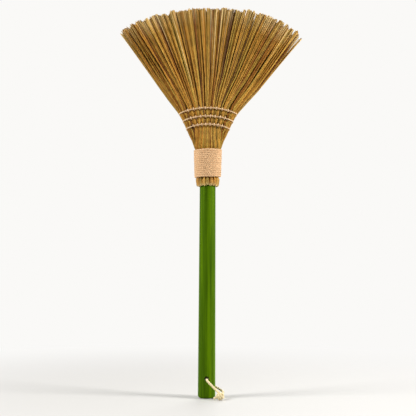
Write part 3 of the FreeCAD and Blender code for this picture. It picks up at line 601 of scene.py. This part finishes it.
# Bundles. Their reach is a share of their tuft's, less by chance, and towards the inside of the fan.
BUNDLE_REACH, BUNDLE_CUT, INSIDE_CUT, STRAW_CUT, STRAW_CUT_POWER = 1.004, 0.015, 0.008, 0.011, 1.5
BUNDLE_BULGE, FLATNESS = 0.5, 0.7           # how far one stands out, and its depth as a share of its width
BUNDLE_SPREADS, WIDE_SPREADS, WIDE_CHANCE = (1.8, 3.1), (3.5, 5.0), 0.03
EDGE_STRAY_SPREADS = (0.5, 1.1)
FOOT_SPREAD, FOOT_REACHES, FOOT_LAYER = 0.08, (38.0, 48.0), 0.85
STRAW_GIRTHS = (0.35, 0.55, 0.6, 0.55, 0.6, 0.58, 0.6, 0.62, 0.61, 0.58, 0.52, 0.38)
STRAW_GIRTH_SHARES = (0.8, 1.2)


class Tuft:
    """The straws of one column on one side, or of the filling between."""

    def __init__(self, layout, column, seed):
        self.layout, self.column = layout, column
        self.chance = random.Random(seed)
        self.lines = []
        self.marks = {"girth": [], "tone": [], "pale": [], "height": []}

    def tone(self, place):
        """A bundle's tone: most are golden, some olive or pale, some dark."""
        at_end = self.column in (0, COLUMNS - 1)
        tone = self.chance.gauss(BUNDLE_TONE, END_TONE_SPREAD if at_end else BUNDLE_TONE_SPREAD)
        if self.column < OLIVE_COLUMNS and self.chance.random() < OLIVE_CHANCE:
            tone = self.chance.choice(OLIVE_TONES)
        if self.layout == "front":
            angle = math.degrees(math.atan2(place.x, place.z - APEX))
            for middle, half in DARK_PATCHES:
                tone -= DARK_PATCH_DROP * max(0.0, 1 - abs(angle - middle) / half)
        return tone

    def keep(self, places, girths, tone, pales):
        """Takes in one straw: its line, with the girth and paleness at each place, and its tone."""
        self.lines.append(places)
        self.marks["girth"] += [g * MM for g in girths]
        self.marks["tone"] += [min(1.0, max(0.0, tone))] * len(places)
        self.marks["pale"] += pales
        self.marks["height"] += [height_mark(p) for p in places]

    def tip_pales(self, places):
        """Paleness along a straw: most are bleached a little at the tip, a few along much of their length."""
        chance = self.chance
        if chance.random() < BLEACHED_CHANCE:
            most, start = BLEACHED_PALE, chance.uniform(*BLEACHED_FROM)
        else:
            most, start = TIP_PALE * chance.random() ** TIP_PALE_POWER, TIP_PALE_FROM
        return [most * max(0.0, (height_mark(p) - start) / (1 - start)) for p in places]

    def lay_butt(self, side):
        """The thick cut butts that show under the binding: one or two, and thinner ones that fill in between."""
        chance = self.chance
        front = math.sin(math.pi * (self.column + 0.5) / COLUMNS)
        split = chance.random() < BUTT_SPLIT_CHANCE
        for across in SPLIT_BUTT if split else WHOLE_BUTT:
            across += chance.uniform(-BUTT_SLIP, BUTT_SLIP)
            end = COLLAR_BOTTOM + BUTT_RISE * front ** 2 + chance.uniform(*BUTT_ENDS)
            thick = chance.uniform(*BUTT_GIRTH_SHARES) * (BUTT_SPLIT_GIRTH if split else 1.0)
            steps = [(end + rise, girth * thick) for rise, girth in BUTT_FOOT]
            steps += [(level, girth * thick) for level, girth in BUTT_NECK]
            places = [ring_place(self.column, side, across, girth, level) for level, girth in steps]
            tone = chance.gauss(BUTT_TONE, BUTT_TONE_SPREAD)
            self.keep(places, [girth for level, girth in steps], tone, BUTT_PALES)
        for across, inset in FILL_BUTTS:
            end = COLLAR_BOTTOM + FILL_BUTT_RISE * front ** 2 + chance.uniform(*FILL_BUTT_ENDS)
            places = [ring_place(self.column, side, across, inset + drop, level)
                      for level, drop in ((end, 0.0), *FILL_BUTT_NECK)]
            tone = chance.gauss(FILL_BUTT_TONE, FILL_BUTT_TONE_SPREAD)
            self.keep(places, FILL_BUTT_GIRTHS, tone, FILL_BUTT_PALES)

    def lay_stem(self, side, across, layer, neck_across, inset, shade):
        """One stem, from under the binding to the crown."""
        chance, column = self.chance, self.column
        places = [ring_place(column, side, neck_across, inset, level) for level in STEM_LEVELS]
        places += [fan_place(column, side, across, layer, reach) for reach in ROOT_REACHES]
        places += sewn_places(column, side, across, layer)
        reach = TIP_REACH * TIP_SHARES[self.layout][column] * chance.uniform(*STEM_CUT)
        aside, outward = chance.gauss(0, STEM_ASIDE), chance.gauss(0, STEM_OUTWARD)
        reach *= cut_share(beside(fan_place(column, side, across, layer, TIP_REACH), aside, 0))
        for step in (*OPEN_STEPS, reach):
            share = (step / reach) ** 2
            place = fan_place(column, side, opened(across, step), layer, step)
            places.append(beside(place, aside * share, outward * share))
        thick = chance.uniform(*(OUTER_STEM_GIRTHS if inset < OUTER_INSET else INNER_STEM_GIRTHS))
        tone = chance.choice(STEM_TONES) if chance.random() < STEM_TONE_CHANCE else self.tone(places[-1])
        # A negative shade darkens a stem: painted shade for the deeper stems, which lie behind the others.
        tone = min(MOST_STEM_TONE, tone + shade)
        self.keep(places, [g * thick for g in STEM_GIRTHS], tone, self.tip_pales(places))

    def lay_bundle(self, side, across, layer, straws, lean, spreads=BUNDLE_SPREADS):
        """Fine straws that branch from the stems below the rows and keep together to the crown."""
        chance, column = self.chance, self.column
        cut = BUNDLE_CUT * chance.random() ** 2 + INSIDE_CUT * (1 - min(1.0, layer))
        bundle_reach = TIP_REACH * TIP_SHARES[self.layout][column] * (BUNDLE_REACH - cut)
        bulge = chance.gauss(0, BUNDLE_BULGE)
        tip = fan_place(column, side, across, layer, TIP_REACH)
        tone = self.tone(tip)
        for _ in range(straws):
            turn, out = chance.uniform(0, FULL_TURN), math.sqrt(chance.random())
            aside, outward = out * math.cos(turn), out * math.sin(turn)
            foot = FOOT_SPREAD * aside
            start = chance.uniform(*FOOT_REACHES)
            places = [fan_place(column, side, across + foot, layer * FOOT_LAYER, start)]
            places += sewn_places(column, side, across + foot, layer)
            reach = bundle_reach * (1.0 - STRAW_CUT * chance.random() ** STRAW_CUT_POWER)
            spread = chance.uniform(*(spreads if chance.random() > WIDE_CHANCE else WIDE_SPREADS))
            reach *= cut_share(beside(tip, spread * aside + lean, 0))
            for step in (*OPEN_STEPS, reach):
                part = (step - OPEN_STEPS[0]) / (reach - OPEN_STEPS[0])
                drift = across + foot * (1 - part)
                drift = drift if self.layout == "core" else opened(drift, step)
                places.append(beside(
                    fan_place(column, side, drift, layer, step),
                    spread * aside * part + lean * part ** 2, (FLATNESS * spread * outward + bulge) * part))
            thick = chance.uniform(*STRAW_GIRTH_SHARES)
            odd = chance.random() < ODD_STRAW_CHANCE
            own = chance.uniform(0, 1) if odd else tone + chance.gauss(0, STRAW_TONE_SPREAD)
            self.keep(places, [g * thick for g in STRAW_GIRTHS], own, self.tip_pales(places))

    def grow(self, name, seed):
        """The tuft's piece, all its straws in one mesh."""
        lines = laid_lines(name, self.lines, **self.marks)
        return grown(name, STRAWS, lines, "broom", "straw", STRAW, Seed=seed)


# Stems of a middle tuft and of an end tuft: place across the fan and its layer, place across the neck and its
# inset, and shade, a shift of tone. On the face it varies at random, its darker stems partly a painted shade of the
# slits between them; the deeper stems are darker, a painted shade for where they lie behind the others.
MIDDLE_STEMS = (
    (0.12, 0.98, 0.12, 0.8, 0.06), (0.31, 0.98, 0.31, 0.9, -0.3), (0.50, 0.98, 0.50, 0.8, 0.14),
    (0.69, 0.98, 0.69, 0.8, 0.1), (0.88, 0.98, 0.88, 0.9, -0.1),
    # Deeper stems, darker as painted shade.
    (0.02, 0.80, 0.02, 2.6, -0.3), (0.34, 0.80, 0.34, 2.6, -0.3), (0.66, 0.80, 0.66, 2.6, -0.3))
END_STEMS = (
    (0.04, 0.98, 0.10, 0.95, 0.0), (0.22, 0.98, 0.28, 2.6, -0.1), (0.40, 0.98, 0.46, 0.95, 0.0),
    (0.58, 0.98, 0.63, 2.6, -0.1), (0.76, 0.98, 0.80, 0.95, 0.0), (0.92, 0.96, 0.95, 2.7, -0.2),
    # Deeper stems, darker as painted shade.
    (0.15, 0.60, 0.20, 4.2, -0.2), (0.50, 0.55, 0.55, 4.4, -0.25), (0.85, 0.60, 0.85, 4.2, -0.25),
    (0.30, 0.25, 0.35, 6.0, -0.3), (0.70, 0.25, 0.70, 6.0, -0.3))
STEM_SLIP, NECK_SLIP = 0.05, 0.04           # how far a stem may lie from these places across
# Bundles of fine straw: place on each crest of the tuft's outside and how far it may slip, layer, and straws. The
# first lie on the crests, the second fill in beside them, the others lie behind.
MIDDLE_BUNDLES = ((0.5, 0.2, 0.93, 26), (0.0, 0.2, 0.87, 20), (0.5, 0.5, 0.55, 14), (0.5, 0.5, 0.22, 10))
END_BUNDLES = (
    (0.5, 0.25, 0.93, 28), (0.0, 0.25, 0.91, 26), (0.5, 0.4, 0.88, 22), (0.0, 0.3, 0.75, 16), (0.5, 0.3, 0.55, 14),
    (0.0, 0.3, 0.4, 14), (0.5, 0.3, 0.25, 12))
LAYER_SLIP, BUNDLE_LEAN = (-0.06, 0.05), 0.7
SLIT_LAYER = 0.15                           # bundles in the slit between two tufts lie this much deeper
# Straws that have sprung away from the fan's edge, by column: place across, layer, and each lot's lean and number.
EDGE_STRAYS = {
    0: (0.12, 0.98, ((2.5, 2), (7.0, 5))),
    COLUMNS - 1: (0.88, 0.98, ((-1.5, 2), (-4.0, 3))),
}
# Bundles of the filling, in lots across a column, each somewhere in its lot.
CORE_LOTS, CORE_START, CORE_PLACES = 5, -0.125, (0.2, 0.8)
CORE_STRAWS, CORE_LAYERS, CORE_LEAN = 11, (-0.45, -0.1), 0.9
# Bundles behind the slits at its sides, and more of them beside the end tufts, by column: places across.
BACKING_STRAWS, BACKING_LAYERS, BACKING_LEAN = 9, (0.3, 0.5), 0.4
END_BACKING, END_BACKING_LAYERS = {1: (0.0, -0.1), COLUMNS - 2: (1.0, 1.1)}, (-0.3, 0.2)
STRAW_SEED = 11                             # the tufts' own seeds follow on this


def lay_outer_tuft(layout, column, seed):
    """A tuft of the front or the back: its butts, stems and bundles, and at the fan's edges some stray straws."""
    tuft = Tuft(layout, column, seed)
    chance, side = tuft.chance, SIDES[layout]
    at_end = column in (0, COLUMNS - 1)
    tuft.lay_butt(side)
    for across, layer, neck_across, inset, shade in END_STEMS if at_end else MIDDLE_STEMS:
        if column == COLUMNS - 1:
            across, neck_across = 1 - across, 1 - neck_across
        tuft.lay_stem(side, across + chance.uniform(-STEM_SLIP, STEM_SLIP), layer,
                      neck_across + chance.uniform(-NECK_SLIP, NECK_SLIP), inset, shade)
    for i in range(BUNDLES):
        for place, slip, layer, straws in END_BUNDLES if at_end else MIDDLE_BUNDLES:
            across = (i + place + chance.uniform(-slip, slip)) / BUNDLES
            if across < slip and not at_end:
                layer -= SLIT_LAYER
            layer += chance.uniform(*LAYER_SLIP)
            tuft.lay_bundle(side, across, layer, straws, chance.gauss(0, BUNDLE_LEAN))
    if at_end:
        across, layer, lots = EDGE_STRAYS[column]
        for lean, straws in lots:
            tuft.lay_bundle(side, across, layer, straws, lean, EDGE_STRAY_SPREADS)
    return tuft


def lay_core_tuft(column, seed):
    """The filling of a column, and the straw that lies behind the slits at its sides."""
    tuft = Tuft("core", column, seed)
    chance = tuft.chance
    for i in range(CORE_LOTS):
        for side in (-1, 1):
            across = (i + chance.uniform(*CORE_PLACES)) / (CORE_LOTS - 1) + CORE_START
            layer = chance.uniform(*CORE_LAYERS)
            tuft.lay_bundle(side, across, layer, CORE_STRAWS, chance.gauss(0, CORE_LEAN))
    for across in (0.0, 1.0):
        for side in (-1, 1):
            layer = chance.uniform(*BACKING_LAYERS)
            tuft.lay_bundle(side, across, layer, BACKING_STRAWS, chance.gauss(0, BACKING_LEAN))
    for across in END_BACKING.get(column, ()):
        for layer in END_BACKING_LAYERS:
            for side in (-1, 1):
                tuft.lay_bundle(side, across, layer, CORE_STRAWS, 0.0)
    return tuft


def make_straw():
    """The tufts, from the right of the fan to the left, each with a seed of its own."""
    seed = STRAW_SEED
    for column in range(COLUMNS):
        for layout in ("front", "back"):
            node = f"straw_{layout}_{column + 1}"
            seed += 1
            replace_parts(lay_outer_tuft(layout, column, seed).grow(f"{node}_straws", seed), node)
        if 0 < column < COLUMNS - 1:
            node = f"straw_core_{column}"
            seed += 1
            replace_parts(lay_core_tuft(column, seed).grow(f"{node}_straws", seed), node)


make_straw()


# Twine

BINDING_SEED = 5
ROW_STAND = 0.7                             # the middle of a row's twine stands this far off the straw
ROW_SINK = 0.3                              # and is drawn in this much at the fan's edges


def binding_line():
    """One length of twine wound up the neck, both ends tucked in under its turns."""
    chance = random.Random(BINDING_SEED)
    per_turn, quarter, slackness, lift_share, tuck_depth = 40, 0.25, 0.12, 0.4, 3.2
    bottom, (first, last) = BINDING_BOTTOM + 1.0, BINDING_RADII
    steps = BINDING_TURNS * per_turn
    points = []
    slack = [chance.uniform(-slackness, slackness) for i in range(BINDING_TURNS + 2)]
    for i in range(steps + 1):
        turn = FULL_TURN * (i / per_turn + quarter)
        tuck = max(0.0, 1 - min(i, steps - i) / (quarter * per_turn))
        lap, part = divmod(i / per_turn, 1)
        loose = slack[int(lap)] * (1 - part) + slack[int(lap) + 1] * part
        radius = first + (last - first) * i / steps + loose - tuck_depth * tuck ** 2
        level = bottom + BINDING_PITCH * i / per_turn + lift_share * loose
        points.append(Vector((radius * math.cos(turn), radius * math.sin(turn), level)))
    return points


def row_place(reach, share, angle, depth):
    """Place on a row, which lies further out towards the fan's edges, at a share of the half width."""
    out = reach + ROW_LIFT * share ** 2
    return Vector((out * math.sin(angle), depth, APEX + out * math.cos(angle)))


def row_line(reach):
    """A band of twine round the fan: across the front, round the edge, across the back and round again."""
    half_width = reach * between(FAN_STEPS, reach)[0] + edge_swell(reach) - ROW_SINK
    half_depth, bend = SEWN_HALF_DEPTH + ROW_STAND, CORNER + ROW_STAND
    corner_steps, face_steps = 7, 28
    outline = []
    for turn, (across, deep) in enumerate(((1, -1), (1, 1), (-1, 1), (-1, -1))):
        for i in range(corner_steps):
            angle = math.pi / 2 * (turn - 1 + i / (corner_steps - 1))
            outline.append((across * (half_width - bend) + bend * math.cos(angle),
                            deep * (half_depth - bend) + bend * math.sin(angle)))
        if turn % 2:
            start, end = across * (half_width - bend), -across * (half_width - bend)
            outline += [(start + (end - start) * i / face_steps, deep * half_depth) for i in range(1, face_steps)]
    return [row_place(reach, s / half_width, s / reach, y) for s, y in outline]


def tie_lines(reach):
    """Loops of twine through the fan, one at each slit, over the band at the front and the back."""
    depth, over, beyond, cap_steps = SEWN_HALF_DEPTH + ROW_STAND, BAND_TWINE / 2 + TIE_TWINE / 2, 1.5, 8
    edge_angle, slit_angle = between(FAN_STEPS, reach)
    lines = []
    for turn in range(1, COLUMNS):
        angle = slit_angle * (1 - 2 * (turn - 1) / (COLUMNS - 2))
        out = Vector((math.sin(angle), 0, math.cos(angle)))
        line = []
        for side in (-1, 1):
            middle = row_place(reach, angle / edge_angle, angle, side * depth)
            for i in range(cap_steps + 1):
                bend = math.pi * i / cap_steps
                line.append(
                    middle + out * (beyond * side * -math.cos(bend)) + Vector((0, side * over * math.sin(bend), 0)))
        lines.append(line)
    return lines


def make_twine():
    """The neck's binding, and the rows round the fan with their ties."""
    binding = grown(
        "neck_binding_twine", LAID_TWINE, laid_lines("neck_binding_twine", [binding_line()]), "broom", "twine", TWINE,
        Diameter=BINDING_TWINE * MM, Lay_Length=6.5 * MM, Ring_Length=0.8 * MM, Ply_Share=0.37, Sides=8)
    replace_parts(binding, "neck_binding")
    for row, reach in ROW_REACHES.items():
        name = f"stitch_row_{row}_twine"
        band = grown(
            name, LAID_TWINE, laid_lines(name, [row_line(reach)], closed=True), "broom", "twine", STITCHING,
            Diameter=BAND_TWINE * MM, Lay_Length=5 * MM, Ring_Length=0.6 * MM, Sides=8)
        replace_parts(band, f"stitch_row_{row}")
        name = f"stitch_ties_{row}_twine"
        ties = grown(
            name, LAID_TWINE, laid_lines(name, tie_lines(reach), closed=True), "broom", "twine", STITCHING,
            Diameter=TIE_TWINE * MM, Lay_Length=3.5 * MM, Ring_Length=0.5 * MM, Sides=6)
        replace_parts(ties, f"stitch_ties_{row}")


make_twine()

for node, finish in (("handle", LACQUER), ("binding_wire", ZINC), ("fixing_nails", ZINC)):
    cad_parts[node].data.materials.clear()
    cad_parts[node].data.materials.append(finish)


# Floor and light


def seen_directly(tree):
    """1 where the camera looks straight at a thing, in a mirror or through glass, else 0."""
    rays = add(tree, "ShaderNodeLightPath").outputs
    mirrored = maths(tree, "MAXIMUM", rays["Is Camera Ray"], rays["Is Glossy Ray"])
    return maths(tree, "MAXIMUM", mirrored, rays["Is Transmission Ray"])


def make_floor():
    """A pale floor that fades into the backdrop away from the broom."""
    size = 6.0
    mesh = bpy.data.meshes.new("floor")
    mesh.from_pydata([(-size, -size, 0), (size, -size, 0), (size, size, 0), (-size, size, 0)], [], [(0, 1, 2, 3)])
    floor = bpy.data.objects.new("floor", mesh)
    bpy.context.scene.collection.objects.link(floor)
    finish, tree, shader = new_finish("pale_painted_floor", Roughness=0.7, Base_Color=colour(FLOOR_PAINT))
    seen = add(tree, "ShaderNodeEmission", {"Color": colour(BACKDROP), "Strength": 1.0})
    place = add(tree, "ShaderNodeTexCoord").outputs["Object"]
    away = add(tree, "ShaderNodeVectorMath", {0: place}, operation="LENGTH")
    fade = add(tree, "ShaderNodeMapRange", {
        "Value": away.outputs["Value"], "From Min": 0.12, "From Max": 0.75}, interpolation_type="SMOOTHSTEP")
    share = maths(tree, "MULTIPLY", fade.outputs["Result"], seen_directly(tree))
    mixed = add(tree, "ShaderNodeMixShader", {
        "Fac": share, 1: shader.outputs["BSDF"], 2: seen.outputs["Emission"]})
    plug(tree, tree.nodes["Material Output"], {"Surface": mixed})
    mesh.materials.append(finish)


LIGHT_AIM = Vector((0, 0, 0.3))
LIGHTS = (                                  # place and size in metres, and power in watts
    ("key_light", (-1.5, -0.62, 1.2), 0.8, 38.5),
    ("fill_light", (0.3, -1.9, 0.9), 1.4, 3.0),
    ("side_light", (1.5, -0.5, 1.0), 0.7, 40.0),
    ("back_light", (0.5, 1.9, 1.1), 1.4, 16.0),
)


def make_light():
    """Soft light from both sides, a weak one in front and one behind, before a pale backdrop."""
    scene = bpy.context.scene
    scene.view_settings.view_transform = "Standard"
    world = bpy.data.worlds.new("studio")
    scene.world = world
    world.use_nodes = True
    tree = world.node_tree
    soft = tree.nodes["Background"]
    soft.inputs["Color"].default_value = colour("#FFFFFF")
    soft.inputs["Strength"].default_value = 0.13
    seen = add(tree, "ShaderNodeBackground", {"Color": colour(BACKDROP), "Strength": 1.0})
    mixed = add(tree, "ShaderNodeMixShader", {
        "Fac": seen_directly(tree), 1: soft.outputs["Background"], 2: seen.outputs["Background"]})
    plug(tree, tree.nodes["World Output"], {"Surface": mixed})
    for name, place, size, power in LIGHTS:
        lamp = bpy.data.lights.new(name, "AREA")
        lamp.shape, lamp.size, lamp.energy = "DISK", size, power
        light = bpy.data.objects.new(name, lamp)
        scene.collection.objects.link(light)
        light.location = place
        light.rotation_euler = (LIGHT_AIM - Vector(place)).to_track_quat("-Z", "Y").to_euler()


make_floor()
make_light()
